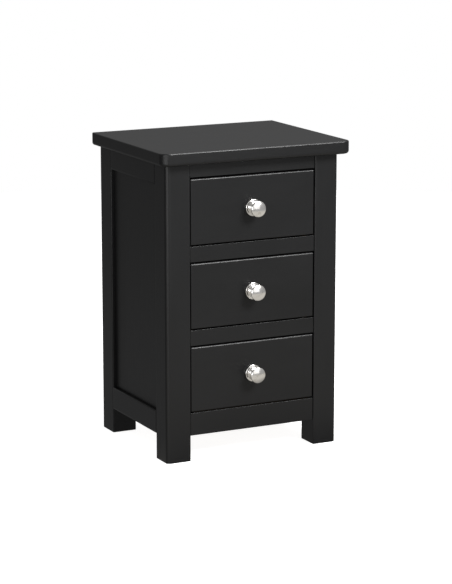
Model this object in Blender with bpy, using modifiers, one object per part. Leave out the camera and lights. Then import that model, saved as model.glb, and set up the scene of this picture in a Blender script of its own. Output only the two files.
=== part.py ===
"""Three-drawer bedside cabinet: painted frame and panels, plain timber drawer boxes, turned metal knobs.

The cabinet stands on z = 0 with its front towards -Y. Lengths are in metres.
The origin is under the middle of the overall box, whose depth includes the knobs.
"""

import math

import bmesh
import bpy
from mathutils import Vector

# Driving dimensions
HEIGHT = 0.600
TOP_WIDTH = 0.400
TOP_DEPTH = 0.328
TOP_THICKNESS = 0.025
SIDE_OVERHANG = 0.017
FRONT_OVERHANG = 0.024
LEG = 0.050
FOOT_HEIGHT = 0.050
BOTTOM_RAIL_HEIGHT = 0.044
SIDE_TOP_RAIL_HEIGHT = 0.042
DIVIDER_HEIGHT = 0.030
OPENING_HEIGHT = 0.1315
FRONT_RAIL_THICKNESS = 0.022
SIDE_RAIL_THICKNESS = 0.019
FRONT_SET_BACK = 0.002
PANEL_RECESS = 0.007
PANEL_THICKNESS = 0.012
BACK_PANEL_THICKNESS = 0.004
BACK_PANEL_RECESS = 0.008
DRAWER_FRONT_THICKNESS = 0.020
DRAWER_SIDE_THICKNESS = 0.012
DRAWER_SIDE_HEIGHT = 0.112
DRAWER_BACK_THICKNESS = 0.012
DRAWER_BACK_INSET = 0.004
DRAWER_BACK_LOWER = 0.008
DRAWER_BOTTOM_THICKNESS = 0.004
DRAWER_BOTTOM_RAISE = 0.0086
DRAWER_GAP_SIDE = 0.002
DRAWER_GAP_BELOW = 0.002
DRAWER_GAP_ABOVE = 0.003
KNOB_PROJECTION = 0.028
KNOB_BASE_RADIUS = 0.0165
KNOB_HEAD_RADIUS = 0.0155

# Fits and joints
GAP = 0.0003
TINY = 0.00001
TENON_LENGTH = 0.020
TENON_THICKNESS = 0.010
TENON_SHOULDER = 0.005
TENON_TO_GROOVE = 0.006
TONGUE_THICKNESS = 0.006
TONGUE_LENGTH = 0.007
GROOVE_DEPTH = 0.005
HOUSING_DEPTH = 0.004
OVERCUT = 0.002
TAIL_COUNT = 3
TAIL_LENGTH = 0.012
TAIL_ROOT = 0.016
TAIL_TIP = 0.020
RUNNER_THICKNESS = 0.014
RUNNER_SHELF_INNER_X = 0.112
GUIDE_HEIGHT = 0.020
STOP_LENGTH = 0.011
STOP_HEIGHT = 0.015
BLOCK_SIZE = 0.035
BLOCK_HEIGHT = 0.025
SCREW_RADIUS = 0.002
SCREW_HEAD_RADIUS = 0.0045
SCREW_HEAD_HEIGHT = 0.0024
SCREW_TIP_CONE = 0.0030
SCREW_TIP_ROUND = 0.0008
SCREW_BITE = 0.014
KNOB_BORE_RADIUS = 0.0023
KNOB_BORE_DEPTH = 0.0160
FRONT_HOLE_RADIUS = 0.0026
DRILL_SIDES = 20
KNOB_SIDES = 32
SCREW_SIDES = 16

# Rounded edges
TOP_CORNER_RADIUS = 0.018
TOP_EDGE_RADIUS = 0.004
TOP_UNDER_RADIUS = 0.006
LEG_CORNER_RADIUS = 0.008
LEG_EDGE_RADIUS = 0.002
RAIL_EDGE_RADIUS = 0.0012
FRONT_EDGE_RADIUS = 0.003
DRAWER_SIDE_RADIUS = 0.002
SAWN_EDGE_RADIUS = 0.0008

# Places worked out from the driving dimensions
UNDER_TOP = HEIGHT - TOP_THICKNESS
BODY_X = TOP_WIDTH / 2 - SIDE_OVERHANG
INNER_X = BODY_X - LEG
BODY_DEPTH = TOP_DEPTH - FRONT_OVERHANG
BACK_Y = (BODY_DEPTH - FRONT_SET_BACK + GAP + KNOB_PROJECTION) / 2
FRONT_Y = BACK_Y - BODY_DEPTH
FACE_Y = FRONT_Y + FRONT_SET_BACK
FRONT_LEG_Y = FRONT_Y + LEG
BACK_LEG_Y = BACK_Y - LEG
RAIL_INNER_X = BODY_X - SIDE_RAIL_THICKNESS
PANEL_X = BODY_X - PANEL_RECESS
BACK_RAIL_Y = BACK_Y - SIDE_RAIL_THICKNESS
BACK_PANEL_Y = BACK_Y - BACK_PANEL_RECESS - BACK_PANEL_THICKNESS
LOW_RAIL = (FOOT_HEIGHT, FOOT_HEIGHT + BOTTOM_RAIL_HEIGHT)
HIGH_RAIL = (UNDER_TOP - SIDE_TOP_RAIL_HEIGHT, UNDER_TOP - GAP)
DRAWER_PITCH = OPENING_HEIGHT + DIVIDER_HEIGHT
DRAWER_FLOORS = {
    "bottom": LOW_RAIL[1],
    "middle": LOW_RAIL[1] + DRAWER_PITCH,
    "top": LOW_RAIL[1] + 2 * DRAWER_PITCH,
}
DRAWER_HALF_WIDTH = INNER_X - DRAWER_GAP_SIDE
DRAWER_FRONT_HEIGHT = OPENING_HEIGHT - DRAWER_GAP_BELOW - DRAWER_GAP_ABOVE
BOX_FRONT_Y = FACE_Y + DRAWER_FRONT_THICKNESS
BOX_BACK_Y = BACK_RAIL_Y - STOP_LENGTH - 2 * GAP
SIDES = (("left", -1), ("right", 1))

FINISHES = {
    "charcoal_paint": ((0.014, 0.014, 0.0145, 1.0), 0.38, 0.0),
    "plain_timber": ((0.62, 0.45, 0.27, 1.0), 0.55, 0.0),
    "plywood": ((0.66, 0.52, 0.35, 1.0), 0.60, 0.0),
    "polished_knob": ((0.80, 0.78, 0.75, 1.0), 0.10, 1.0),
    "zinc_screw": ((0.62, 0.62, 0.60, 1.0), 0.35, 1.0),
}


def clear_scene():
    for old in list(bpy.data.objects):
        bpy.data.objects.remove(old, do_unlink=True)


def new_collection(name):
    collection = bpy.data.collections.new(name)
    bpy.context.scene.collection.children.link(collection)
    return collection


def finish(name):
    """The Principled material for one of the cabinet's finishes."""
    material = bpy.data.materials.get(name)
    if material:
        return material
    colour, roughness, metallic = FINISHES[name]
    material = bpy.data.materials.new(name)
    material.use_nodes = True
    shader = material.node_tree.nodes["Principled BSDF"]
    shader.inputs["Base Color"].default_value = colour
    shader.inputs["Roughness"].default_value = roughness
    shader.inputs["Metallic"].default_value = metallic
    material.diffuse_color = colour
    return material


def place(name, bm, centre, owner, parent=None):
    """Turns a bmesh built around its own centre into an object standing at centre."""
    mesh = bpy.data.meshes.new(name)
    bm.to_mesh(mesh)
    bm.free()
    piece = bpy.data.objects.new(name, mesh)
    owner.objects.link(piece)
    piece.location = Vector(centre)
    if parent:
        piece.parent = parent
        piece.location -= parent.location
    if owner is TOOLS:
        piece.hide_render = True
        piece.display_type = "WIRE"
    return piece


def block(low, high):
    """A bmesh box of the size between two corners, and the centre it belongs at."""
    low, high = Vector(low), Vector(high)
    bm = bmesh.new()
    bmesh.ops.create_cube(bm, size=1.0)
    bmesh.ops.scale(bm, vec=high - low, verts=bm.verts)
    return bm, (low + high) / 2


def span(a, b):
    """Two values in rising order, so that a piece can be given for either side."""
    return min(a, b), max(a, b)


def corners(x, y, z):
    """Low and high corners from a pair of values for each axis."""
    ranges = [span(*x), span(*y), span(*z)]
    return [r[0] for r in ranges], [r[1] for r in ranges]


def bevel_edges(bm, chosen, radius, segments):
    bmesh.ops.bevel(bm, geom=chosen, offset=radius, segments=segments, profile=0.5,
                    affect="EDGES", clamp_overlap=True, material=-1)


def soften(piece, radius, segments=1):
    """Breaks every edge of a plain board with a Bevel modifier."""
    bevel = piece.modifiers.new("Broken edges", "BEVEL")
    bevel.width = radius
    bevel.segments = segments
    bevel.limit_method = "ANGLE"
    bevel.angle_limit = math.radians(40)


def board(name, x, y, z, surface, edge=SAWN_EDGE_RADIUS, parent=None):
    """A rectangular board with broken edges."""
    bm, centre = block(*corners(x, y, z))
    piece = place(name, bm, centre, CABINET, parent)
    piece.data.materials.append(finish(surface))
    if edge:
        soften(piece, edge)
    return piece


def tool_block(name, x, y, z, parent=None):
    bm, centre = block(*corners(x, y, z))
    return place(name, bm, centre, TOOLS, parent)


def tool_rod(name, centre, axis, radius, length, parent=None):
    """A cylinder along a world axis, used to drill a hole."""
    bm = bmesh.new()
    bmesh.ops.create_cone(bm, cap_ends=True, segments=DRILL_SIDES, radius1=radius, radius2=radius,
                          depth=length)
    rod = place(name, bm, centre, TOOLS, parent)
    if axis == "Y":
        rod.rotation_euler.x = math.pi / 2
    return rod


def combine(piece, tool, operation):
    boolean = piece.modifiers.new(tool.name, "BOOLEAN")
    boolean.operation = operation
    boolean.solver = "EXACT"
    boolean.object = tool


def cut(piece, tool):
    combine(piece, tool, "DIFFERENCE")


def join(piece, tool):
    combine(piece, tool, "UNION")


def grown(pair, by=GAP):
    low, high = span(*pair)
    return low - by, high + by


def turned(name, profile, steps, surface, centre, parent=None):
    """A turned piece: its half outline, from the tip down the outer side, swept about Z."""
    mesh = bpy.data.meshes.new(name)
    points = [(radius, 0.0, height) for radius, height in profile]
    mesh.from_pydata(points, [(i, i + 1) for i in range(len(points) - 1)], [])
    mesh.materials.append(finish(surface))
    piece = bpy.data.objects.new(name, mesh)
    CABINET.objects.link(piece)
    piece.location = Vector(centre)
    if parent:
        piece.parent = parent
        piece.location -= parent.location
    screw = piece.modifiers.new("Turning", "SCREW")
    screw.steps = steps
    screw.render_steps = steps
    screw.use_merge_vertices = True
    screw.merge_threshold = 0.00002
    screw.use_smooth_shade = True
    return piece


# Frame


def top_board():
    """Overhanging top: front corners rounded in plan, both long edges rounded over."""
    front = FRONT_Y - FRONT_OVERHANG
    bm, centre = block(*corners((-TOP_WIDTH / 2, TOP_WIDTH / 2), (front, BACK_Y), (UNDER_TOP, HEIGHT)))
    half_depth = TOP_DEPTH / 2
    half_thickness = TOP_THICKNESS / 2
    front_corners = [e for e in bm.edges
                     if all(v.co.y < 0 for v in e.verts) and e.verts[0].co.z * e.verts[1].co.z < 0]
    bevel_edges(bm, front_corners, TOP_CORNER_RADIUS, 6)
    for level, radius in ((half_thickness, TOP_EDGE_RADIUS), (-half_thickness, TOP_UNDER_RADIUS)):
        rim = [e for e in bm.edges
               if all(abs(v.co.z - level) < TINY for v in e.verts)
               and not all(abs(v.co.y - half_depth) < TINY for v in e.verts)]
        bevel_edges(bm, rim, radius, 3)
    piece = place("top_board", bm, centre, CABINET)
    piece.data.materials.append(finish("charcoal_paint"))
    return piece


def corner_edges(bm, half):
    """Upright edges that still stand on the square corners of a post."""
    return [e for e in bm.edges
            if all(abs(abs(v.co.x) - half) < TINY and abs(abs(v.co.y) - half) < TINY for v in e.verts)]


def leg(name, side, front):
    """Square leg; the front legs have a rounder outer corner."""
    y = (FRONT_Y, FRONT_LEG_Y) if front else (BACK_LEG_Y, BACK_Y)
    bm, centre = block(*corners((side * INNER_X, side * BODY_X), y, (0, UNDER_TOP - GAP)))
    if front:
        outer = [e for e in corner_edges(bm, LEG / 2) if e.verts[0].co.y < 0 and e.verts[0].co.x * side > 0]
        bevel_edges(bm, outer, LEG_CORNER_RADIUS, 4)
    bevel_edges(bm, corner_edges(bm, LEG / 2), LEG_EDGE_RADIUS, 2)
    piece = place(name, bm, centre, CABINET)
    piece.data.materials.append(finish("charcoal_paint"))
    return piece


def tenon_height(z):
    """Height of the tenon on a rail that carries no groove."""
    return z[0] + TENON_SHOULDER, z[1] - TENON_SHOULDER


def grooved_tenon_height(z, groove_above):
    """Height of the tenon on a rail whose upper or lower edge holds a panel."""
    keep = TONGUE_LENGTH + TENON_TO_GROOVE
    if groove_above:
        return z[0] + TENON_SHOULDER, z[1] - keep
    return z[0] + keep, z[1] - TENON_SHOULDER


def cross_rail(name, y, z, tenon_z, legs):
    """A rail between two legs along X, tenoned into both."""
    rail = board(name, (GAP - INNER_X, INNER_X - GAP), y, z, "charcoal_paint", RAIL_EDGE_RADIUS)
    middle = (y[0] + y[1]) / 2
    tenon_y = (middle - TENON_THICKNESS / 2, middle + TENON_THICKNESS / 2)
    for label, side in SIDES:
        start = side * (INNER_X - OVERCUT)
        end = side * (INNER_X + TENON_LENGTH)
        join(rail, tool_block(f"{name}_tenon_{label}", (start, end), tenon_y, tenon_z))
        mortise = tool_block(f"{name}_mortise_{label}", (start, side * (INNER_X + TENON_LENGTH + GAP)),
                             grown(tenon_y), grown(tenon_z))
        cut(legs[label], mortise)
    return rail


def side_rail(name, side, z, tenon_z, legs):
    """A rail between a front and a back leg along Y, flush with their outer faces."""
    rail = board(name, (side * RAIL_INNER_X, side * BODY_X), (FRONT_LEG_Y + GAP, BACK_LEG_Y - GAP), z,
                 "charcoal_paint", RAIL_EDGE_RADIUS)
    middle = (RAIL_INNER_X + BODY_X) / 2
    tenon_x = (side * (middle - TENON_THICKNESS / 2), side * (middle + TENON_THICKNESS / 2))
    for label, face, way in (("front", FRONT_LEG_Y, -1), ("back", BACK_LEG_Y, 1)):
        start = face - way * OVERCUT
        join(rail, tool_block(f"{name}_tenon_{label}", tenon_x, (start, face + way * TENON_LENGTH), tenon_z))
        mortise = tool_block(f"{name}_mortise_{label}", grown(tenon_x),
                             (start, face + way * (TENON_LENGTH + GAP)), grown(tenon_z))
        cut(legs[label], mortise)
    return rail


def side_panel(label, side, neighbours):
    """Recessed panel whose thinner tongue lies in grooves in two legs and two rails."""
    name = f"side_panel_{label}"
    panel = board(name, (side * PANEL_X, side * (PANEL_X - PANEL_THICKNESS)),
                  (FRONT_LEG_Y + GAP, BACK_LEG_Y - GAP), (LOW_RAIL[1] + GAP, HIGH_RAIL[0] - GAP),
                  "charcoal_paint", 0)
    tongue_x = (side * PANEL_X, side * (PANEL_X - TONGUE_THICKNESS))
    tongue_y = (FRONT_LEG_Y - TONGUE_LENGTH, BACK_LEG_Y + TONGUE_LENGTH)
    tongue_z = (LOW_RAIL[1] - TONGUE_LENGTH, HIGH_RAIL[0] + TONGUE_LENGTH)
    join(panel, tool_block(f"{name}_tongue", tongue_x, tongue_y, tongue_z))
    groove = tool_block(f"{name}_groove", grown(tongue_x), grown(tongue_y), grown(tongue_z))
    for neighbour in neighbours:
        cut(neighbour, groove)
    return panel


def back_panel(neighbours):
    """Thin sheet held in grooves in the back legs and back rails."""
    x = (-INNER_X - TONGUE_LENGTH, INNER_X + TONGUE_LENGTH)
    y = (BACK_PANEL_Y, BACK_PANEL_Y + BACK_PANEL_THICKNESS)
    z = (LOW_RAIL[1] - TONGUE_LENGTH, HIGH_RAIL[0] + TONGUE_LENGTH)
    panel = board("back_panel", x, y, z, "plywood", 0)
    groove = tool_block("back_panel_groove", grown(x), grown(y), grown(z))
    for neighbour in neighbours:
        cut(neighbour, groove)
    return panel


def build_frame():
    legs = {}
    for label, side in SIDES:
        for end in ("front", "back"):
            legs[end, label] = leg(f"leg_{end}_{label}", side, end == "front")
    front_legs = {label: legs["front", label] for label, _ in SIDES}
    back_legs = {label: legs["back", label] for label, _ in SIDES}

    face = (FACE_Y, FACE_Y + FRONT_RAIL_THICKNESS)
    floors = DRAWER_FLOORS
    front_rails = {
        "front_rail_bottom": LOW_RAIL,
        "front_divider_lower": (floors["bottom"] + OPENING_HEIGHT, floors["middle"]),
        "front_divider_upper": (floors["middle"] + OPENING_HEIGHT, floors["top"]),
        "front_rail_top": (floors["top"] + OPENING_HEIGHT, UNDER_TOP - GAP),
    }
    for name, z in front_rails.items():
        cross_rail(name, face, z, tenon_height(z), front_legs)

    low_tenon = grooved_tenon_height(LOW_RAIL, True)
    high_tenon = grooved_tenon_height(HIGH_RAIL, False)
    back = (BACK_RAIL_Y, BACK_Y)
    back_rails = [cross_rail("back_rail_bottom", back, LOW_RAIL, low_tenon, back_legs),
                  cross_rail("back_rail_top", back, HIGH_RAIL, high_tenon, back_legs)]
    back_panel(back_rails + list(back_legs.values()))

    for label, side in SIDES:
        pair = {"front": legs["front", label], "back": legs["back", label]}
        rails = [side_rail(f"side_rail_bottom_{label}", side, LOW_RAIL, low_tenon, pair),
                 side_rail(f"side_rail_top_{label}", side, HIGH_RAIL, high_tenon, pair)]
        side_panel(label, side, rails + list(pair.values()))


# Inside the cabinet


def runner(level, label, side):
    """Shelf that a drawer side slides on, with a side guide and an end stop in the same piece."""
    name = f"runner_{level}_{label}"
    floor = DRAWER_FLOORS[level]
    shelf_x = (side * RUNNER_SHELF_INNER_X, side * (INNER_X - GAP))
    shelf_y = (FACE_Y + FRONT_RAIL_THICKNESS + GAP, BACK_RAIL_Y - GAP)
    shelf = board(name, shelf_x, shelf_y, (floor - RUNNER_THICKNESS, floor), "plain_timber")
    guide = tool_block(f"{name}_guide", (side * INNER_X - side * OVERCUT, side * (RAIL_INNER_X - GAP)),
                       (FRONT_LEG_Y + GAP, BACK_LEG_Y - GAP),
                       (floor - RUNNER_THICKNESS, floor + GUIDE_HEIGHT))
    passage = tool_block(f"{name}_passage", (side * RUNNER_SHELF_INNER_X, side * INNER_X),
                         (FRONT_LEG_Y, BACK_LEG_Y), (floor, floor + GUIDE_HEIGHT + OVERCUT))
    stop = tool_block(f"{name}_stop", shelf_x, (shelf_y[1] - STOP_LENGTH, shelf_y[1]),
                      (floor - RUNNER_THICKNESS / 2, floor + STOP_HEIGHT))
    join(shelf, guide)
    cut(shelf, passage)
    join(shelf, stop)
    return shelf


def screw_profile(shank_length):
    """Half outline of a pan-head screw standing on its head: the tip comes first."""
    tip = SCREW_HEAD_HEIGHT + shank_length
    return [
        (0.0, tip),
        (SCREW_RADIUS * 0.5, tip - SCREW_TIP_ROUND),
        (SCREW_RADIUS, tip - SCREW_TIP_CONE),
        (SCREW_RADIUS, SCREW_HEAD_HEIGHT),
        (SCREW_HEAD_RADIUS, SCREW_HEAD_HEIGHT),
        (SCREW_HEAD_RADIUS, SCREW_HEAD_HEIGHT * 0.55),
        (SCREW_HEAD_RADIUS * 0.75, SCREW_HEAD_HEIGHT * 0.15),
        (0.0, 0.0),
    ]


def fixing_block(end, label, side, top):
    """Block in the angle of rail and leg, with the screw that holds the top board down."""
    if end == "front":
        y = (FRONT_LEG_Y + GAP, FRONT_LEG_Y + GAP + BLOCK_SIZE)
    else:
        y = (BACK_LEG_Y - GAP - BLOCK_SIZE, BACK_LEG_Y - GAP)
    x = (side * (RAIL_INNER_X - GAP), side * (RAIL_INNER_X - GAP - BLOCK_SIZE))
    z = (UNDER_TOP - GAP - BLOCK_HEIGHT, UNDER_TOP - GAP)
    name = f"corner_block_{end}_{label}"
    piece = board(name, x, y, z, "plain_timber")
    axis_x = sum(x) / 2
    axis_y = sum(y) / 2
    drill_z = (z[0] + UNDER_TOP) / 2
    cut(piece, tool_rod(f"{name}_hole", (axis_x, axis_y, drill_z), "Z", SCREW_RADIUS + GAP, BLOCK_HEIGHT * 2))
    cut(top, tool_rod(f"{name}_pilot", (axis_x, axis_y, UNDER_TOP), "Z",
                      SCREW_RADIUS + GAP, 2 * (SCREW_BITE + GAP)))
    turned(f"top_screw_{end}_{label}", screw_profile(BLOCK_HEIGHT + 2 * GAP + SCREW_BITE), SCREW_SIDES,
           "zinc_screw", (axis_x, axis_y, z[0] - GAP - SCREW_HEAD_HEIGHT))


# Drawers


def tail_tool(name, x, centre_z, clearance, parent):
    """One dovetail on a drawer side, or the socket for it when clearance is given."""
    root_y = BOX_FRONT_Y + GAP + OVERCUT
    tip_y = BOX_FRONT_Y - TAIL_LENGTH - clearance
    bm, centre = block(*corners(x, (tip_y, root_y), (centre_z - TAIL_ROOT / 2, centre_z + TAIL_ROOT / 2)))
    spread = (TAIL_TIP - TAIL_ROOT) / 2
    for v in bm.verts:
        way = 1 if v.co.z > 0 else -1
        v.co.z += way * (clearance + (spread if v.co.y < 0 else 0))
    return place(name, bm, centre, TOOLS, parent)


def tail_heights(floor):
    """Centres of the dovetails, evenly spaced above the bottom's groove."""
    low = floor + DRAWER_BOTTOM_RAISE + DRAWER_BOTTOM_THICKNESS
    step = (floor + DRAWER_SIDE_HEIGHT - low) / TAIL_COUNT
    return [low + step * (i + 0.5) for i in range(TAIL_COUNT)]


def knob_profile():
    """Half outline of the knob, from its domed face to its base and up the threaded bore."""
    dome_rise = 0.0040
    rim_height = KNOB_PROJECTION - dome_rise
    rim_radius = 0.0022
    dome_radius = KNOB_HEAD_RADIUS - 0.3 * rim_radius
    dome = [(dome_radius * math.sin(t), rim_height + dome_rise * math.cos(t))
            for t in (math.radians(angle) for angle in (0, 18, 36, 54, 70))]
    rim = [(KNOB_HEAD_RADIUS - rim_radius * (1 - math.cos(t)), rim_height + rim_radius * math.sin(t))
           for t in (math.radians(angle) for angle in (20, 0, -25, -55))]
    stem = [
        (0.0120, 0.0175),
        (0.0085, 0.0150),
        (0.0072, 0.0120),
        (0.0078, 0.0092),
        (0.0112, 0.0082),
        (0.0124, 0.0068),
        (0.0112, 0.0054),
        (0.0120, 0.0042),
        (0.0148, 0.0036),
    ]
    base = [
        (KNOB_BASE_RADIUS - 0.0004, 0.0027),
        (KNOB_BASE_RADIUS, 0.0016),
        (KNOB_BASE_RADIUS - 0.0003, 0.0),
    ]
    bore = [(KNOB_BORE_RADIUS, 0.0), (KNOB_BORE_RADIUS, KNOB_BORE_DEPTH), (0.0, KNOB_BORE_DEPTH)]
    return dome + rim + stem + base + bore


def drawer_side(name, x, y, z, slide):
    """Side of a drawer box, with its long top edges rounded over."""
    bm, centre = block(*corners(x, y, z))
    upper = [e for e in bm.edges
             if all(v.co.z > 0 for v in e.verts) and e.verts[0].co.y * e.verts[1].co.y < 0]
    bevel_edges(bm, upper, DRAWER_SIDE_RADIUS, 3)
    piece = place(name, bm, centre, CABINET, slide)
    piece.data.materials.append(finish("plain_timber"))
    return piece


def drawer(level):
    """One drawer: painted front, dovetailed sides, housed back, grooved bottom and knob."""
    floor = DRAWER_FLOORS[level]
    slide = bpy.data.objects.new(f"drawer_{level}_slide", None)
    slide.location = (0.0, FACE_Y, floor)
    CABINET.objects.link(slide)
    name = f"drawer_{level}"

    front_z = (floor + DRAWER_GAP_BELOW, floor + DRAWER_GAP_BELOW + DRAWER_FRONT_HEIGHT)
    knob_z = sum(front_z) / 2
    bm, centre = block(*corners((-DRAWER_HALF_WIDTH, DRAWER_HALF_WIDTH), (FACE_Y, BOX_FRONT_Y), front_z))
    rim = [e for e in bm.edges if all(v.co.y < 0 for v in e.verts)]
    bevel_edges(bm, rim, FRONT_EDGE_RADIUS, 3)
    front = place(f"{name}_front", bm, centre, CABINET, slide)
    front.data.materials.append(finish("charcoal_paint"))

    bottom_z = (floor + DRAWER_BOTTOM_RAISE, floor + DRAWER_BOTTOM_RAISE + DRAWER_BOTTOM_THICKNESS)
    side_z = (floor + GAP, floor + DRAWER_SIDE_HEIGHT)
    back_y = (BOX_BACK_Y - DRAWER_BACK_INSET - DRAWER_BACK_THICKNESS, BOX_BACK_Y - DRAWER_BACK_INSET)
    inner_x = DRAWER_HALF_WIDTH - DRAWER_SIDE_THICKNESS
    groove_x = inner_x + GROOVE_DEPTH
    groove = tool_block(f"{name}_groove", (-groove_x, groove_x),
                        (BOX_FRONT_Y - GROOVE_DEPTH, BOX_BACK_Y + OVERCUT), grown(bottom_z), slide)
    cut(front, groove)

    for label, side in SIDES:
        x = (side * inner_x, side * DRAWER_HALF_WIDTH)
        plank = drawer_side(f"{name}_side_{label}", x, (BOX_FRONT_Y + GAP, BOX_BACK_Y), side_z, slide)
        for i, height in enumerate(tail_heights(floor)):
            join(plank, tail_tool(f"{name}_tail_{label}_{i}", x, height, 0.0, slide))
            socket_x = (side * (inner_x - GAP), side * (DRAWER_HALF_WIDTH + OVERCUT))
            cut(front, tail_tool(f"{name}_socket_{label}_{i}", socket_x, height, GAP, slide))
        cut(plank, groove)
        housing_x = (side * (inner_x - OVERCUT), side * (inner_x + HOUSING_DEPTH))
        cut(plank, tool_block(f"{name}_housing_{label}", housing_x, grown(back_y),
                              (floor - OVERCUT, side_z[1] + OVERCUT), slide))

    back_x = inner_x + HOUSING_DEPTH - GAP
    board(f"{name}_back", (-back_x, back_x), back_y, (bottom_z[1] + GAP, side_z[1] - DRAWER_BACK_LOWER),
          "plain_timber", SAWN_EDGE_RADIUS, slide)
    bottom_x = groove_x - GAP
    board(f"{name}_bottom", (-bottom_x, bottom_x), (BOX_FRONT_Y - GROOVE_DEPTH + GAP, BOX_BACK_Y - 2 * GAP),
          bottom_z, "plywood", 0, slide)

    cut(front, tool_rod(f"{name}_knob_hole", (0.0, (FACE_Y + BOX_FRONT_Y) / 2, knob_z), "Y",
                        FRONT_HOLE_RADIUS, DRAWER_FRONT_THICKNESS + 2 * OVERCUT, slide))
    knob = turned(f"{name}_knob", knob_profile(), KNOB_SIDES, "polished_knob",
                  (0.0, FACE_Y - GAP, knob_z), slide)
    knob.rotation_euler.x = math.pi / 2
    screw_y = BOX_FRONT_Y + GAP + SCREW_HEAD_HEIGHT
    screw = turned(f"{name}_knob_screw", screw_profile(DRAWER_FRONT_THICKNESS + 2 * GAP + SCREW_BITE),
                   SCREW_SIDES, "zinc_screw", (0.0, screw_y, knob_z), slide)
    screw.rotation_euler.x = math.pi / 2


clear_scene()
CABINET = new_collection("bedside_cabinet")
TOOLS = new_collection("cutters")
build_frame()
TOP = top_board()
for level_name in DRAWER_FLOORS:
    for side_label, side_sign in SIDES:
        runner(level_name, side_label, side_sign)
    drawer(level_name)
for end_name in ("front", "back"):
    for side_label, side_sign in SIDES:
        fixing_block(end_name, side_label, side_sign, TOP)
bpy.context.view_layer.update()
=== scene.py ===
import math

import bmesh
import bpy
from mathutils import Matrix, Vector


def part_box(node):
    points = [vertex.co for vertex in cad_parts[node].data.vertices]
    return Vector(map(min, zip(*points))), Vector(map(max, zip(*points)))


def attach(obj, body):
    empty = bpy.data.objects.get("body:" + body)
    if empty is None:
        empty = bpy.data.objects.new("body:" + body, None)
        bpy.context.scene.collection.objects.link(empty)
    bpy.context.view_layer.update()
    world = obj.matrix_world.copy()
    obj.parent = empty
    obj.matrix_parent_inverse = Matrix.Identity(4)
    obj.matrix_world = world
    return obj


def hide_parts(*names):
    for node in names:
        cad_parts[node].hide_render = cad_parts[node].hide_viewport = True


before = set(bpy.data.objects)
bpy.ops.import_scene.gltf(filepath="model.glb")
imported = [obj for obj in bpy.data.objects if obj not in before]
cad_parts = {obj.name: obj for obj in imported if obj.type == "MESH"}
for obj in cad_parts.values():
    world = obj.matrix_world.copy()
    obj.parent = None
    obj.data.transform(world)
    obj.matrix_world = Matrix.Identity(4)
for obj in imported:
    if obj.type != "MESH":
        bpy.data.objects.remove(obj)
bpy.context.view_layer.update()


# Camera
# A long lens a little above the top board, turned towards the cabinet's left side, so that the
# drawers and one panelled side are both seen. The lens is not shifted.
CAMERA_AIM = Vector((0.0082, -0.0059, 0.2925))
CAMERA_AZIMUTH = math.radians(-26.56)
CAMERA_ELEVATION = math.radians(12.00)
CAMERA_DISTANCE = 4.50
CAMERA_LENS = 141.2
SENSOR_WIDTH = 36.0

towards_camera = Vector((
    math.sin(CAMERA_AZIMUTH) * math.cos(CAMERA_ELEVATION),
    -math.cos(CAMERA_AZIMUTH) * math.cos(CAMERA_ELEVATION),
    math.sin(CAMERA_ELEVATION),
))
camera_data = bpy.data.cameras.new("camera")
camera_data.sensor_width = SENSOR_WIDTH
camera_data.lens = CAMERA_LENS
camera = bpy.data.objects.new("camera", camera_data)
camera.location = CAMERA_AIM + CAMERA_DISTANCE * towards_camera
camera.rotation_euler = towards_camera.to_track_quat("Z", "Y").to_euler()
bpy.context.scene.collection.objects.link(camera)
bpy.context.scene.camera = camera
bpy.context.scene.view_settings.view_transform = "Standard"


# Studio
# A pale floor under a white sweep, both of which the camera sees as white. The paint and the knobs mirror
# another room. Its floor glows, with its light painted in: a painted pool of light in front of the cabinet
# and painted shadow and shade under and behind it. Its back wall pales upwards, and four softboxes light it.
FLOOR_RADIUS = 3.0
FLOOR_SIDES = 96
FLOOR_SEEN = (0.60, 0.60, 0.60, 1.0)
FLOOR_LIFT = 0.90
# Colours that other rays see on the glowing floor: painted shadow near the cabinet, a painted pool of light
# in front that fades further out, and painted shade behind
FLOOR_PAINTED_SHADOW = (0.20, 0.19, 0.18, 1.0)
FLOOR_FRONT = (0.56, 0.54, 0.50, 1.0)
FLOOR_FAR = (0.33, 0.33, 0.33, 1.0)
FLOOR_BACK = (0.20, 0.20, 0.20, 1.0)
FLOOR_BACK_FAR = (0.16, 0.16, 0.16, 1.0)
ROOM_FRONT = (0.34, 0.34, 0.34, 1.0)
ROOM_BACK_LOW = (0.14, 0.14, 0.14, 1.0)
ROOM_BACK_HIGH = (0.47, 0.47, 0.47, 1.0)
WHITE = (1.0, 1.0, 1.0, 1.0)
# Where the mirrored floor changes from one colour to the next, in metres from the middle of the painted
# shadow
SHADE_MIDDLE = (0.12, 0.0, 0.0)
NEAR_TO_FRONT = (0.10, 0.45)
FRONT_TO_FAR = (1.10, 2.00)
BACK_TO_BACK_FAR = (0.80, 2.20)
# Where the floor and the room change from front to back, and the back wall from low to high
FLOOR_FRONT_TO_BACK = (-0.35, 0.05)
ROOM_FRONT_TO_BACK = (-0.55, 0.25)
ROOM_LOW_TO_HIGH = (0.05, 0.60)
SOFTBOXES = {
    # name: place, aim, width, height, power in watts
    "softbox_overhead": ((0.9, -0.3, 2.5), (0.0, -0.1, 0.5), 1.4, 1.4, 32.0),
    "softbox_right": ((0.90, -2.20, 2.10), (0.0, -0.15, 0.4), 1.0, 0.9, 122.0),
    "softbox_front": ((0.30, -2.90, 1.15), (0.0, -0.15, 0.4), 2.1, 1.9, 10.5),
    "softbox_left": ((-2.3, -2.1, 0.62), (0.0, 0.0, 0.45), 2.9, 1.2, 32.0),
}


def node(tree, kind, sockets=None, **settings):
    """Adds a node; each socket is given a value, or the output that is wired to it."""
    made = tree.nodes.new(kind)
    for name, value in settings.items():
        setattr(made, name, value)
    for name, value in (sockets or {}).items():
        if isinstance(value, bpy.types.NodeSocket):
            tree.links.new(value, made.inputs[name])
        else:
            made.inputs[name].default_value = value
    return made


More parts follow.
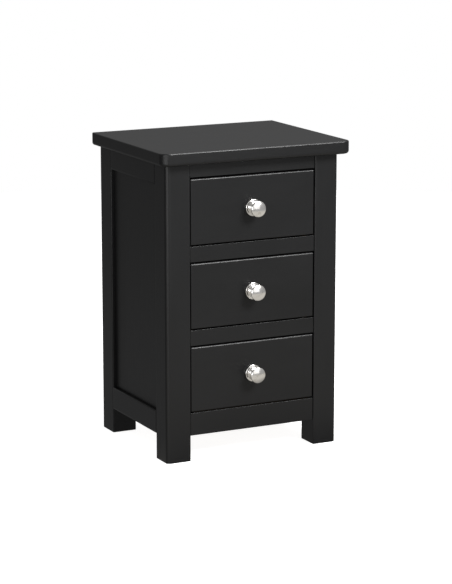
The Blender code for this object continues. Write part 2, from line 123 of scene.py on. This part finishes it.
def smooth_step(tree, value, low, high):
    """Eases from 0 to 1 while value goes from low to high."""
    made = node(tree, "ShaderNodeMapRange", {"Value": value, "From Min": low, "From Max": high})
    made.interpolation_type = "SMOOTHSTEP"
    return made.outputs[0]


def mix_colours(tree, amount, first, second):
    """A colour between first and second; a Mix node keeps its colours in sockets 6 and 7, and in output 2."""
    made = node(tree, "ShaderNodeMix", {}, data_type="RGBA")
    for socket, value in ((0, amount), (6, first), (7, second)):
        if isinstance(value, bpy.types.NodeSocket):
            tree.links.new(value, made.inputs[socket])
        else:
            made.inputs[socket].default_value = value
    return made.outputs[2]


def blank(owner):
    """Turns nodes on and empties the tree of a material or a world."""
    owner.use_nodes = True
    owner.node_tree.nodes.clear()
    return owner.node_tree


world = bpy.data.worlds.new("studio")
bpy.context.scene.world = world
tree = blank(world)
direction = node(tree, "ShaderNodeTexCoord").outputs["Generated"]
direction = node(tree, "ShaderNodeSeparateXYZ", {0: direction}).outputs
upwards = smooth_step(tree, direction["Z"], *ROOM_LOW_TO_HIGH)
back_wall = mix_colours(tree, upwards, ROOM_BACK_LOW, ROOM_BACK_HIGH)
walls = mix_colours(tree, smooth_step(tree, direction["Y"], *ROOM_FRONT_TO_BACK), ROOM_FRONT, back_wall)
room = node(tree, "ShaderNodeBackground", {"Color": walls})
sweep = node(tree, "ShaderNodeBackground", {"Color": WHITE})
rays = node(tree, "ShaderNodeLightPath").outputs["Is Camera Ray"]
seen = node(tree, "ShaderNodeMixShader", {0: rays, 1: room.outputs[0], 2: sweep.outputs[0]})
node(tree, "ShaderNodeOutputWorld", {"Surface": seen.outputs[0]})

for name, (place, aim, width, height, power) in SOFTBOXES.items():
    light = bpy.data.lights.new(name, "AREA")
    light.shape = "RECTANGLE"
    light.size = width
    light.size_y = height
    light.energy = power
    lamp = bpy.data.objects.new(name, light)
    lamp.location = place
    lamp.rotation_euler = (Vector(place) - Vector(aim)).to_track_quat("Z", "Y").to_euler()
    lamp.visible_camera = False
    bpy.context.scene.collection.objects.link(lamp)

floor_paint = bpy.data.materials.new("pale_floor")
tree = blank(floor_paint)
# Other rays see a glow instead of a lit floor: painted shadow under the cabinet, a painted pool of light in
# front of it and painted shade behind it
place = node(tree, "ShaderNodeTexCoord").outputs["Object"]
away = node(tree, "ShaderNodeVectorMath", {0: place, 1: SHADE_MIDDLE}, operation="DISTANCE").outputs["Value"]
across = node(tree, "ShaderNodeSeparateXYZ", {0: place}).outputs["Y"]
painted_front_floor = mix_colours(tree, smooth_step(tree, away, *NEAR_TO_FRONT), FLOOR_PAINTED_SHADOW, FLOOR_FRONT)
painted_front_floor = mix_colours(tree, smooth_step(tree, away, *FRONT_TO_FAR), painted_front_floor, FLOOR_FAR)
painted_back_shade = mix_colours(tree, smooth_step(tree, away, *BACK_TO_BACK_FAR), FLOOR_BACK, FLOOR_BACK_FAR)
mirrored = mix_colours(tree, smooth_step(tree, across, *FLOOR_FRONT_TO_BACK), painted_front_floor, painted_back_shade)
mirrored = node(tree, "ShaderNodeEmission", {"Color": mirrored})
matt = node(tree, "ShaderNodeBsdfDiffuse", {"Color": FLOOR_SEEN})
glow = node(tree, "ShaderNodeEmission", {"Strength": FLOOR_LIFT})
lifted = node(tree, "ShaderNodeAddShader", {0: matt.outputs[0], 1: glow.outputs[0]})
rays = node(tree, "ShaderNodeLightPath").outputs["Is Camera Ray"]
seen = node(tree, "ShaderNodeMixShader", {0: rays, 1: mirrored.outputs[0], 2: lifted.outputs[0]})
node(tree, "ShaderNodeOutputMaterial", {"Surface": seen.outputs[0]})
bm = bmesh.new()
bmesh.ops.create_circle(bm, cap_ends=True, segments=FLOOR_SIDES, radius=FLOOR_RADIUS)
floor_mesh = bpy.data.meshes.new("floor")
bm.to_mesh(floor_mesh)
bm.free()
floor_mesh.materials.append(floor_paint)
floor = bpy.data.objects.new("floor", floor_mesh)
bpy.context.scene.collection.objects.link(floor)


# Legs
# Four posts of 50 mm square softwood, sprayed with satin charcoal paint. The front ones have a rounder
# outer corner, and all four have a small chamfer round the foot so that they don't splinter.
ENDS = ("front", "back")
SIDES = ("left", "right")
LEG_CORNER_RADIUS = 0.008
LEG_CORNER_FACETS = 12
LEG_ARRIS = 0.002
LEG_ARRIS_FACETS = 5
FOOT_CHAMFER = 0.0012
FOOT_CHAMFER_FACETS = 3
EDGE_BORDER = 0.003
CLOSE = 1e-6
FLAT = 0.9999
ROUND_PROFILE = 0.5
FLAT_FACE_WEIGHT = 100
UPRIGHT = (0.0, 0.0, 0.0)
ALONG_X = (0.0, math.radians(90), 0.0)
ALONG_Y = (math.radians(90), 0.0, 0.0)
PAINT = (0.0046, 0.0047, 0.0050, 1.0)
PAINT_CLOUDED = 1.22
PAINT_IOR = 1.395
PAINT_ROUGHNESS = 0.270
CLOUD_ROUGHNESS = 0.08
GRAIN_ROUGHNESS = 0.06
PAINT_RELIEF = 0.0002
PEEL_RELIEF = 0.35
RELIEF_STRENGTH = 0.5
# Patterns: cells to a metre, how many times longer than wide a cell is, detail
PAINT_GRAIN = (520.0, 22.0, 4.0)
PAINT_PEEL = (1500.0, 1.0, 2.0)
PAINT_CLOUDS = (11.0, 2.5, 3.0)
CLOUD_EDGE = (0.30, 0.75)


def new_group(name, inputs, outputs):
    """An empty shader node group with named sockets, the values given to it and the sockets it fills."""
    group = bpy.data.node_groups.new(name, "ShaderNodeTree")
    for sockets, way in ((inputs, "INPUT"), (outputs, "OUTPUT")):
        for socket, kind in sockets.items():
            group.interface.new_socket(socket, in_out=way, socket_type=f"NodeSocket{kind}")
    return group, group.nodes.new("NodeGroupInput").outputs, group.nodes.new("NodeGroupOutput").inputs


def noise(tree, vector, scale, drawn_out, detail):
    """Noise whose cells are drawn out along Z to so many times their width."""
    stretch = node(tree, "ShaderNodeMapping", {"Vector": vector, "Scale": (1.0, 1.0, 1.0 / drawn_out)})
    cells = node(tree, "ShaderNodeTexNoise", {"Vector": stretch.outputs[0], "Scale": scale, "Detail": detail})
    return cells.outputs[0]


def calculate(tree, operation, first, second=0.0, third=0.0):
    return node(tree, "ShaderNodeMath", {0: first, 1: second, 2: third}, operation=operation).outputs[0]


satin, given, result = new_group(
    "satin_paint",
    {"Vector": "Vector", "Paint": "Color"},
    {"Color": "Color", "Roughness": "Float", "Height": "Float"},
)
grain = noise(satin, given["Vector"], *PAINT_GRAIN)
peel = noise(satin, given["Vector"], *PAINT_PEEL)
cloud = noise(satin, given["Vector"], *PAINT_CLOUDS)
lighter = node(satin, "ShaderNodeHueSaturation", {"Value": PAINT_CLOUDED, "Color": given["Paint"]}).outputs[0]
tone = mix_colours(satin, smooth_step(satin, cloud, *CLOUD_EDGE), given["Paint"], lighter)
sheen = calculate(satin, "MULTIPLY_ADD", cloud, CLOUD_ROUGHNESS, PAINT_ROUGHNESS)
sheen = calculate(satin, "MULTIPLY_ADD", grain, GRAIN_ROUGHNESS, sheen)
satin.links.new(tone, result["Color"])
satin.links.new(sheen, result["Roughness"])
satin.links.new(calculate(satin, "MULTIPLY_ADD", peel, PEEL_RELIEF, grain), result["Height"])


def turned_coordinates(tree, turn, shift):
    """Object coordinates, turned so that the grain runs along Z."""
    place = node(tree, "ShaderNodeTexCoord").outputs["Object"]
    return node(tree, "ShaderNodeMapping", {"Vector": place, "Rotation": turn, "Location": shift}).outputs[0]


def wooden(name, group, turn, shift, colours, ior, relief):
    """A material whose colour, roughness and relief come from one of the groups, with the grain turned."""
    material = bpy.data.materials.new(name)
    tree = blank(material)
    coat = node(tree, "ShaderNodeGroup", node_tree=group)
    tree.links.new(turned_coordinates(tree, turn, shift), coat.inputs["Vector"])
    for socket, colour in colours.items():
        coat.inputs[socket].default_value = colour
    bump = node(tree, "ShaderNodeBump", {
        "Strength": RELIEF_STRENGTH,
        "Distance": relief,
        "Height": coat.outputs["Height"],
    })
    shader = node(tree, "ShaderNodeBsdfPrincipled", {
        "Base Color": coat.outputs["Color"],
        "Roughness": coat.outputs["Roughness"],
        "Normal": bump.outputs[0],
        "IOR": ior,
    })
    node(tree, "ShaderNodeOutputMaterial", {"Surface": shader.outputs[0]})
    return material


def painted(name, turn):
    return wooden(name, satin, turn, (0.0, 0.0, 0.0), {"Paint": PAINT}, PAINT_IOR, PAINT_RELIEF)


paint_upright = painted("charcoal_paint_upright", UPRIGHT)
paint_along_x = painted("charcoal_paint_along_x", ALONG_X)
paint_along_y = painted("charcoal_paint_along_y", ALONG_Y)


def block(low, high):
    """A plain block between two corners."""
    bm = bmesh.new()
    bmesh.ops.create_cube(bm, size=1.0)
    bmesh.ops.scale(bm, vec=high - low, verts=bm.verts)
    bmesh.ops.translate(bm, vec=(low + high) / 2, verts=bm.verts)
    return bm


def round_edges(bm, radius, segments, chosen):
    """Rounds the edges for which chosen(one end, other end) is true."""
    edges = [e for e in bm.edges if chosen(e.verts[0].co, e.verts[1].co)]
    bmesh.ops.bevel(bm, geom=edges, offset=radius, segments=segments, profile=ROUND_PROFILE,
                    affect="EDGES", material=-1)


def runs_along(a, b, axis):
    """True where the edge from a to b is parallel to the axis."""
    return all(abs(a[i] - b[i]) < CLOSE for i in range(3) if i != axis)


def is_flat(face):
    return max(abs(c) for c in face.normal) > FLAT


def border_flats(bm, border):
    """Puts a narrow border inside every flat face, next to the rounded edges."""
    bm.normal_update()
    flats = [f for f in bm.faces if is_flat(f)]
    bmesh.ops.inset_individual(bm, faces=flats, thickness=border, use_even_offset=True)


def piece(name, bm, material, body, slot, *stands_for):
    """Makes a finished piece from a mesh built in place, and sets it on its body."""
    mesh = bpy.data.meshes.new(name)
    bm.to_mesh(mesh)
    bm.free()
    mesh.shade_smooth()
    mesh.materials.append(material)
    made = bpy.data.objects.new(name, mesh)
    bpy.context.scene.collection.objects.link(made)
    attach(made, body)
    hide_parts(*stands_for)
    return made


def flatten_shading(made):
    """Keeps the flat faces flat between rounded edges that are shaded smooth."""
    weighted = made.modifiers.new("flat faces stay flat", "WEIGHTED_NORMAL")
    weighted.weight = FLAT_FACE_WEIGHT


for end in ENDS:
    for side in SIDES:
        leg = f"leg_{end}_{side}"
        low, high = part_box(leg)
        outer_x = low.x if side == "left" else high.x
        bm = block(low, high)
        if end == "front":
            round_edges(bm, LEG_CORNER_RADIUS, LEG_CORNER_FACETS, lambda a, b: (
                runs_along(a, b, 2) and abs(a.x - outer_x) < CLOSE and abs(a.y - low.y) < CLOSE))
        round_edges(bm, LEG_ARRIS, LEG_ARRIS_FACETS, lambda a, b: (
            runs_along(a, b, 2)
            and min(abs(a.x - low.x), abs(a.x - high.x)) < CLOSE
            and min(abs(a.y - low.y), abs(a.y - high.y)) < CLOSE))
        round_edges(bm, FOOT_CHAMFER, FOOT_CHAMFER_FACETS, lambda a, b: max(a.z, b.z) < low.z + CLOSE)
        border_flats(bm, EDGE_BORDER)
        flatten_shading(piece(f"post_{end}_{side}", bm, paint_upright, "carcass", "charcoal_paint", leg))


# Side rails
# Two rails to a side, 19 mm thick and flush with the outer faces of the legs, which they meet at a
# fine joint line. Their long edges are just broken before painting.
RAIL_ARRIS = 0.0004
RAIL_ARRIS_FACETS = 4
JOINT_LINE = 0.0006

front_leg_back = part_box("leg_front_left")[1].y
back_leg_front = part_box("leg_back_left")[0].y


def rail(name, low, high, along, material, node_name):
    """A rail whose long edges, which run along the given axis, are broken."""
    bm = block(low, high)
    round_edges(bm, RAIL_ARRIS, RAIL_ARRIS_FACETS, lambda a, b: runs_along(a, b, along))
    border_flats(bm, EDGE_BORDER)
    flatten_shading(piece(name, bm, material, "carcass", "charcoal_paint", node_name))


for level in ("bottom", "top"):
    for side in SIDES:
        low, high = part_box(f"side_rail_{level}_{side}")
        low.y = front_leg_back + JOINT_LINE
        high.y = back_leg_front - JOINT_LINE
        rail(f"side_cross_rail_{level}_{side}", low, high, 1, paint_along_y, f"side_rail_{level}_{side}")


# Side panels
# A flat board 12 mm thick in each side, set 7 mm back behind the legs and rails. Its edges are thinner
# tongues that lie loose in grooves, so that the board can swell and shrink.
PANEL_ARRIS = 0.0006
PANEL_ARRIS_FACETS = 2

side_rail_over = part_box("side_rail_bottom_left")[1].z
side_rail_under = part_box("side_rail_top_left")[0].z
for side in SIDES:
    low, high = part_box(f"side_panel_{side}")
    low.y = front_leg_back + JOINT_LINE
    high.y = back_leg_front - JOINT_LINE
    low.z = side_rail_over + JOINT_LINE
    high.z = side_rail_under - JOINT_LINE
    bm = block(low, high)
    round_edges(bm, PANEL_ARRIS, PANEL_ARRIS_FACETS, lambda a, b: True)
    border_flats(bm, EDGE_BORDER)
    board = piece(f"panel_{side}", bm, paint_upright, "carcass", "charcoal_paint", f"side_panel_{side}")
    flatten_shading(board)


# Front rails
# A rail under the top board, two between the drawers and one below them, 22 mm thick and set 2 mm back
# from the legs' front faces. They are joined like the side rails, with a joint line that shows more.
FRONT_JOINT_LINE = 0.0010

leg_inner_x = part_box("leg_front_right")[0].x
for name in ("front_rail_top", "front_divider_upper", "front_divider_lower", "front_rail_bottom"):
    low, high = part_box(name)
    low.x = FRONT_JOINT_LINE - leg_inner_x
    high.x = leg_inner_x - FRONT_JOINT_LINE
    rail(f"cross_{name}", low, high, 0, paint_along_x, name)


# Back rails
# Two rails between the back legs, 19 mm thick and flush with the legs' back faces.
for name in ("back_rail_top", "back_rail_bottom"):
    low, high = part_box(name)
    low.x = JOINT_LINE - leg_inner_x
    high.x = leg_inner_x - JOINT_LINE
    rail(f"cross_{name}", low, high, 0, paint_along_x, name)


# Back panel
# A sheet of 4 mm birch plywood, left bare, lying in grooves in the back legs and rails. Its face veneer
# runs upright.
PLY_LIGHT = (0.62, 0.47, 0.31, 1.0)
PLY_DARK = (0.47, 0.33, 0.19, 1.0)
PLY_RELIEF = 0.0001
BARE_WOOD_IOR = 1.45
VENEER_FIGURE = (60.0, 14.0, 3.0)
VENEER_PORES = (1400.0, 30.0, 2.0)
VENEER_PATCHES = (14.0, 3.0, 1.0)
VENEER_WANDERING = (5.0, 2.0, (0.05, 0.05, 0.05))
FIGURE_DEPTH = 0.8
PATCH_DEPTH = 0.5
PORE_DEPTH = 0.35
LIGHT_TO_DARK = (0.50, 1.15)
VENEER_ROUGHNESS = 0.52
PORE_ROUGHNESS = 0.15


def wandering(tree, vector, scale, detail, reach):
    """The vector with a slow drift added, so that straight grain wanders a little."""
    drift = node(tree, "ShaderNodeTexNoise", {"Vector": vector, "Scale": scale, "Detail": detail})
    drift = node(tree, "ShaderNodeVectorMath", {0: drift.outputs["Color"], 1: reach}, operation="MULTIPLY")
    return node(tree, "ShaderNodeVectorMath", {0: vector, 1: drift.outputs[0]}, operation="ADD").outputs[0]


veneer, given, result = new_group(
    "birch_veneer",
    {"Vector": "Vector", "Light": "Color", "Dark": "Color"},
    {"Color": "Color", "Roughness": "Float", "Height": "Float"},
)
figure = noise(veneer, wandering(veneer, given["Vector"], *VENEER_WANDERING), *VENEER_FIGURE)
pores = noise(veneer, given["Vector"], *VENEER_PORES)
patches = noise(veneer, given["Vector"], *VENEER_PATCHES)
depth = calculate(veneer, "MULTIPLY", figure, FIGURE_DEPTH)
depth = calculate(veneer, "MULTIPLY_ADD", patches, PATCH_DEPTH, depth)
depth = calculate(veneer, "MULTIPLY_ADD", pores, PORE_DEPTH, depth)
tone = mix_colours(veneer, smooth_step(veneer, depth, *LIGHT_TO_DARK), given["Light"], given["Dark"])
veneer.links.new(tone, result["Color"])
sheen = calculate(veneer, "MULTIPLY_ADD", pores, PORE_ROUGHNESS, VENEER_ROUGHNESS)
veneer.links.new(sheen, result["Roughness"])
veneer.links.new(pores, result["Height"])


def plywood(name, turn, shift):
    colours = {"Light": PLY_LIGHT, "Dark": PLY_DARK}
    return wooden(name, veneer, turn, shift, colours, BARE_WOOD_IOR, PLY_RELIEF)


def finish_node(name, material):
    """Gives a node that keeps its own shape its finish."""
    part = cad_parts[name]
    part.data.materials.clear()
    part.data.materials.append(material)


finish_node("back_panel", plywood("birch_plywood_upright", UPRIGHT, (0.0, 0.0, 0.0)))


# Top board
# One 25 mm board that overhangs the front by 24 mm and the sides by 17 mm. The front corners are rounded
# in plan, the top edge is rounded over, and the under edge more so. The back edge is square.
TOP_CORNER_RADIUS = 0.018
TOP_CORNER_FACETS = 20
TOP_EDGE_RADIUS = 0.0025
TOP_UNDER_RADIUS = 0.006
TOP_EDGE_FACETS = 8
TOP_BACK_ARRIS = 0.0005
TOP_BACK_FACETS = 2

low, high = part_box("top_board")
bm = block(low, high)
round_edges(bm, TOP_CORNER_RADIUS, TOP_CORNER_FACETS, lambda a, b: (
    runs_along(a, b, 2) and abs(a.y - low.y) < CLOSE))
for level, radius in ((high.z, TOP_EDGE_RADIUS), (low.z, TOP_UNDER_RADIUS)):
    round_edges(bm, radius, TOP_EDGE_FACETS, lambda a, b: (
        abs(a.z - level) < CLOSE and abs(b.z - level) < CLOSE and min(a.y, b.y) < high.y - CLOSE))
round_edges(bm, TOP_BACK_ARRIS, TOP_BACK_FACETS, lambda a, b: min(a.y, b.y) > high.y - CLOSE)
border_flats(bm, EDGE_BORDER)
flatten_shading(piece("overhanging_top", bm, paint_along_x, "carcass", "charcoal_paint", "top_board"))


# Corner blocks and runners
# Sawn pine, planed and sealed clear. A block is glued in each corner under the top board, and each drawer
# runs on a strip with a guide beside it and a stop at its far end.
PINE_LIGHT = (0.66, 0.47, 0.27, 1.0)
PINE_DARK = (0.42, 0.235, 0.10, 1.0)
PINE_RELIEF = 0.00015
PINE_FIBRES = (1100.0, 40.0, 3.0)
PINE_PATCHES = (16.0, 5.0, 2.0)
PINE_WANDERING = (4.0, 3.0, (0.03, 0.03, 0.0))
ACROSS_THE_GRAIN = (1.0, 1.0, 0.0)
RING_SPACING = 0.0042
RING_SHARPNESS = 2.6
RING_END = (1.00, 0.92)
RING_DEPTH = 0.85
FIBRE_DEPTH = 0.30
PINE_PATCH_DEPTH = 0.35
PINE_LIGHT_TO_DARK = (0.15, 1.25)
PINE_ROUGHNESS = 0.55
LATE_WOOD_ROUGHNESS = -0.12
LATE_WOOD_RELIEF = 0.5
LEVELS = ("top", "middle", "bottom")

pine, given, result = new_group(
    "pine_grain",
    {"Vector": "Vector", "Light": "Color", "Dark": "Color"},
    {"Color": "Color", "Roughness": "Float", "Height": "Float"},
)
drifted = wandering(pine, given["Vector"], *PINE_WANDERING)
crosswise = node(pine, "ShaderNodeVectorMath", {0: drifted, 1: ACROSS_THE_GRAIN}, operation="MULTIPLY")
from_pith = node(pine, "ShaderNodeVectorMath", {0: crosswise.outputs[0]}, operation="LENGTH")
ring = calculate(pine, "DIVIDE", from_pith.outputs["Value"], RING_SPACING)
ring = calculate(pine, "FRACT", ring)
late_wood = calculate(pine, "POWER", ring, RING_SHARPNESS)
late_wood = calculate(pine, "MULTIPLY", late_wood, smooth_step(pine, ring, *RING_END))
fibres = noise(pine, given["Vector"], *PINE_FIBRES)
patches = noise(pine, given["Vector"], *PINE_PATCHES)
depth = calculate(pine, "MULTIPLY", late_wood, RING_DEPTH)
depth = calculate(pine, "MULTIPLY_ADD", fibres, FIBRE_DEPTH, depth)
depth = calculate(pine, "MULTIPLY_ADD", patches, PINE_PATCH_DEPTH, depth)
tone = mix_colours(pine, smooth_step(pine, depth, *PINE_LIGHT_TO_DARK), given["Light"], given["Dark"])
pine.links.new(tone, result["Color"])
sheen = calculate(pine, "MULTIPLY_ADD", late_wood, LATE_WOOD_ROUGHNESS, PINE_ROUGHNESS)
pine.links.new(sheen, result["Roughness"])
pine.links.new(calculate(pine, "MULTIPLY_ADD", late_wood, LATE_WOOD_RELIEF, fibres), result["Height"])


def pine_wood(name, turn, shift):
    """Pine whose rings run round a pith outside the board; the shift moves that pith."""
    colours = {"Light": PINE_LIGHT, "Dark": PINE_DARK}
    return wooden(name, pine, turn, shift, colours, BARE_WOOD_IOR, PINE_RELIEF)


A_LITTLE_OFF_Y = (math.radians(88), math.radians(3), 0.0)
A_LITTLE_OFF_X = (math.radians(2), math.radians(88), 0.0)
RUNNER_SHIFT = (0.03, 0.07, 0.0)

pine_runners = pine_wood("pine_runners", A_LITTLE_OFF_Y, RUNNER_SHIFT)
for end in ENDS:
    for side in SIDES:
        finish_node(f"corner_block_{end}_{side}", pine_runners)
for level in LEVELS:
    for side in SIDES:
        finish_node(f"runner_{level}_{side}", pine_runners)


# Drawer fronts
# Solid boards 20 mm thick, painted, with the top edge rounded over and the other front edges just eased.
# Each end has three sockets for the dovetails of the drawer's sides, and the back a groove for its bottom.
FRONT_TOP_RADIUS = 0.0032
FRONT_TOP_FACETS = 6
FRONT_EDGE_RADIUS = 0.0014
FRONT_EDGE_FACETS = 4
FRONT_UNDERCUT = 0.0008
CUT_INTO_FRONT = ("side_left", "side_right", "bottom", "knob_screw")


def copy_of(name):
    """A closed copy of a node's mesh, to cut with."""
    bm = bmesh.new()
    bm.from_mesh(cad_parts[name].data)
    bmesh.ops.remove_doubles(bm, verts=bm.verts, dist=CLOSE)
    mesh = bpy.data.meshes.new(f"{name}_cutter")
    bm.to_mesh(mesh)
    bm.free()
    cutter = bpy.data.objects.new(f"{name}_cutter", mesh)
    bpy.context.scene.collection.objects.link(cutter)
    return cutter


def cut_out(made, cutters):
    """Takes the cutters' shapes out of a piece for good."""
    for cutter in cutters:
        boolean = made.modifiers.new(cutter.name, "BOOLEAN")
        boolean.operation = "DIFFERENCE"
        boolean.solver = "EXACT"
        boolean.object = cutter
    result = bpy.data.meshes.new_from_object(made.evaluated_get(bpy.context.evaluated_depsgraph_get()))
    made.modifiers.clear()
    made.data = result
    for cutter in cutters:
        bpy.data.objects.remove(cutter)


for level in LEVELS:
    drawer = f"drawer_{level}"
    low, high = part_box(f"{drawer}_front")
    low.z += FRONT_UNDERCUT
    bm = block(low, high)
    round_edges(bm, FRONT_TOP_RADIUS, FRONT_TOP_FACETS, lambda a, b: (
        max(a.y, b.y) < low.y + CLOSE and min(a.z, b.z) > high.z - CLOSE))
    round_edges(bm, FRONT_EDGE_RADIUS, FRONT_EDGE_FACETS, lambda a, b: (
        max(a.y, b.y) < low.y + FRONT_TOP_RADIUS + CLOSE
        and (max(a.x, b.x) < low.x + CLOSE
             or min(a.x, b.x) > high.x - CLOSE
             or max(a.z, b.z) < low.z + CLOSE)))
    border_flats(bm, EDGE_BORDER)
    front = piece(f"face_board_{level}", bm, paint_along_x, drawer, "charcoal_paint", f"{drawer}_front")
    cut_out(front, [copy_of(f"{drawer}_{part}") for part in CUT_INTO_FRONT])
    flatten_shading(front)


# Drawer boxes
# Pine sides and back, 12 mm thick, with the long top edges of the sides rounded, and a bottom of 4 mm birch
# plywood that slides into grooves from behind. No two boards show the same figure.
FIGURE_SHIFTS = {
    # level: shift of the sides' figure, the back's and the bottom's
    "top": ((0.040, 0.090, 0.0), (0.050, 0.060, 0.0), (0.0, 0.0, 0.0)),
    "middle": ((0.053, 0.073, 0.0), (0.039, 0.072, 0.0), (0.2, 0.3, 0.0)),
    "bottom": ((0.066, 0.056, 0.0), (0.028, 0.084, 0.0), (0.4, 0.6, 0.0)),
}

for level, (side_shift, back_shift, bottom_shift) in FIGURE_SHIFTS.items():
    drawer = f"drawer_{level}"
    along = pine_wood(f"pine_drawer_side_{level}", A_LITTLE_OFF_Y, side_shift)
    across = pine_wood(f"pine_drawer_back_{level}", A_LITTLE_OFF_X, back_shift)
    sheet = plywood(f"birch_plywood_bottom_{level}", ALONG_X, bottom_shift)
    for side in SIDES:
        finish_node(f"{drawer}_side_{side}", along)
    finish_node(f"{drawer}_back", across)
    finish_node(f"{drawer}_bottom", sheet)


# Knobs
# Turned brass, nickel plated and polished: a stepped base, a bead, a narrow neck and a domed head. A screw
# from inside the drawer holds each one.
KNOB_STEPS = 96
DOME_RADIUS = 0.0330
DOME_FACETS = 14
HEAD_RADIUS = 0.0155
RIM_RADIUS = 0.0021
RIM_END = -42
RIM_FACETS = 10
NECK_RADIUS = 0.0072
NECK_HEIGHT = 0.0112
NECK_FACETS = 14
NECK_QUICKNESS = 0.62
NECK_FULLNESS = 1.25
BASE_TURNINGS = (
    # radius and height of the arc's middle, its own radius, its start and end in degrees, its facets
    (0.0100, 0.0098, 0.0020, 190, 270, 4),
    (0.0108, 0.0066, 0.0015, 90, -90, 8),
    (0.0128, 0.0048, 0.0008, 180, 270, 3),
    (0.0152, 0.0027, 0.0013, 90, 0, 6),
)
BASE_EDGE = [(0.0165, 0.0002), (0.0162, 0.0), (0.0, 0.0)]
KNOB_METAL = (0.92, 0.905, 0.88, 1.0)
KNOB_DULL = (0.74, 0.71, 0.67, 1.0)
KNOB_SMEARS = (90.0, 1.0, 3.0)
SMEAR_EDGE = (0.45, 0.75)
KNOB_ROUGHNESS = 0.15
SMEAR_ROUGHNESS = 0.08
TURNING_LINES = 9000.0
TURNING_RELIEF = 0.00002
TURNING_STRENGTH = 0.05

knob_finish = bpy.data.materials.new("polished_nickel")
tree = blank(knob_finish)
smear = noise(tree, node(tree, "ShaderNodeTexCoord").outputs["Object"], *KNOB_SMEARS)
turning = node(tree, "ShaderNodeAttribute", attribute_name="turning").outputs["Fac"]
lines = node(tree, "ShaderNodeTexNoise", {"W": turning, "Scale": TURNING_LINES}, noise_dimensions="1D")
bump = node(tree, "ShaderNodeBump", {
    "Strength": TURNING_STRENGTH,
    "Distance": TURNING_RELIEF,
    "Height": lines.outputs[0],
})
shader = node(tree, "ShaderNodeBsdfPrincipled", {
    "Base Color": mix_colours(tree, smooth_step(tree, smear, *SMEAR_EDGE), KNOB_METAL, KNOB_DULL),
    "Roughness": calculate(tree, "MULTIPLY_ADD", smear, SMEAR_ROUGHNESS, KNOB_ROUGHNESS),
    "Normal": bump.outputs[0],
    "Metallic": 1.0,
})
node(tree, "ShaderNodeOutputMaterial", {"Surface": shader.outputs[0]})


def arc(middle_radius, middle_height, radius, start, end, facets):
    """Points of a knob's outline on an arc; 0 degrees points away from the axis, 90 towards the head."""
    turns = [math.radians(start + (end - start) * i / facets) for i in range(facets + 1)]
    return [(middle_radius + radius * math.cos(t), middle_height + radius * math.sin(t)) for t in turns]


def knob_outline(projection):
    """Half outline from the middle of the domed face down to the base; (radius, height) pairs."""
    dome_turn = math.asin((HEAD_RADIUS - RIM_RADIUS) / (DOME_RADIUS - RIM_RADIUS))
    dome_end = 90 - math.degrees(dome_turn)
    dome_height = projection - DOME_RADIUS
    rim_height = dome_height + (DOME_RADIUS - RIM_RADIUS) * math.cos(dome_turn)
    outline = arc(0.0, dome_height, DOME_RADIUS, 90, dome_end, DOME_FACETS)
    outline += arc(HEAD_RADIUS - RIM_RADIUS, rim_height, RIM_RADIUS, dome_end, RIM_END, RIM_FACETS)[1:]
    rim_end_radius, rim_end_height = outline[-1]
    for i in range(1, NECK_FACETS + 1):
        down = i / NECK_FACETS
        inwards = math.sin(down ** NECK_QUICKNESS * math.pi / 2) ** NECK_FULLNESS
        outline.append((rim_end_radius + (NECK_RADIUS - rim_end_radius) * inwards,
                        rim_end_height + (NECK_HEIGHT - rim_end_height) * down))
    for turning in BASE_TURNINGS:
        outline += arc(*turning)
    return outline + BASE_EDGE


for level in LEVELS:
    knob = f"drawer_{level}_knob"
    low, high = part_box(knob)
    centre = (low + high) / 2
    bm = bmesh.new()
    outline = [bm.verts.new((centre.x + r, high.y - h, centre.z)) for r, h in knob_outline(high.y - low.y)]
    edges = [bm.edges.new(pair) for pair in zip(outline, outline[1:])]
    bmesh.ops.spin(bm, geom=outline + edges, cent=(centre.x, high.y, centre.z), axis=(0.0, 1.0, 0.0),
                   angle=2 * math.pi, steps=KNOB_STEPS, use_merge=True)
    bmesh.ops.remove_doubles(bm, verts=bm.verts, dist=CLOSE)
    bmesh.ops.recalc_face_normals(bm, faces=bm.faces)
    turning = bm.verts.layers.float.new("turning")
    for v in bm.verts:
        v[turning] = math.hypot(v.co.x - centre.x, v.co.z - centre.z) + (v.co.y - low.y)
    piece(f"round_knob_{level}", bm, knob_finish, f"drawer_{level}", "polished_knob", knob)


# Screws
# Zinc-plated steel, pan heads. One holds each knob from inside the drawer, and four hold the top board down
# through the corner blocks.
ZINC = (0.62, 0.62, 0.60, 1.0)
ZINC_DULL = (0.42, 0.42, 0.41, 1.0)
ZINC_SPANGLES = (700.0, 1.0, 3.0)
SPANGLE_EDGE = (0.35, 0.65)
ZINC_ROUGHNESS = 0.25
SPANGLE_ROUGHNESS = 0.2
SPANGLE_RELIEF = 0.00003
SPANGLE_STRENGTH = 0.15

screw_finish = bpy.data.materials.new("zinc_plate")
tree = blank(screw_finish)
spangle = noise(tree, node(tree, "ShaderNodeTexCoord").outputs["Object"], *ZINC_SPANGLES)
bump = node(tree, "ShaderNodeBump", {
    "Strength": SPANGLE_STRENGTH,
    "Distance": SPANGLE_RELIEF,
    "Height": spangle,
})
shader = node(tree, "ShaderNodeBsdfPrincipled", {
    "Base Color": mix_colours(tree, smooth_step(tree, spangle, *SPANGLE_EDGE), ZINC, ZINC_DULL),
    "Roughness": calculate(tree, "MULTIPLY_ADD", spangle, SPANGLE_ROUGHNESS, ZINC_ROUGHNESS),
    "Normal": bump.outputs[0],
    "Metallic": 1.0,
})
node(tree, "ShaderNodeOutputMaterial", {"Surface": shader.outputs[0]})
for level in LEVELS:
    finish_node(f"drawer_{level}_knob_screw", screw_finish)
for end in ENDS:
    for side in SIDES:
        finish_node(f"top_screw_{end}_{side}", screw_finish)
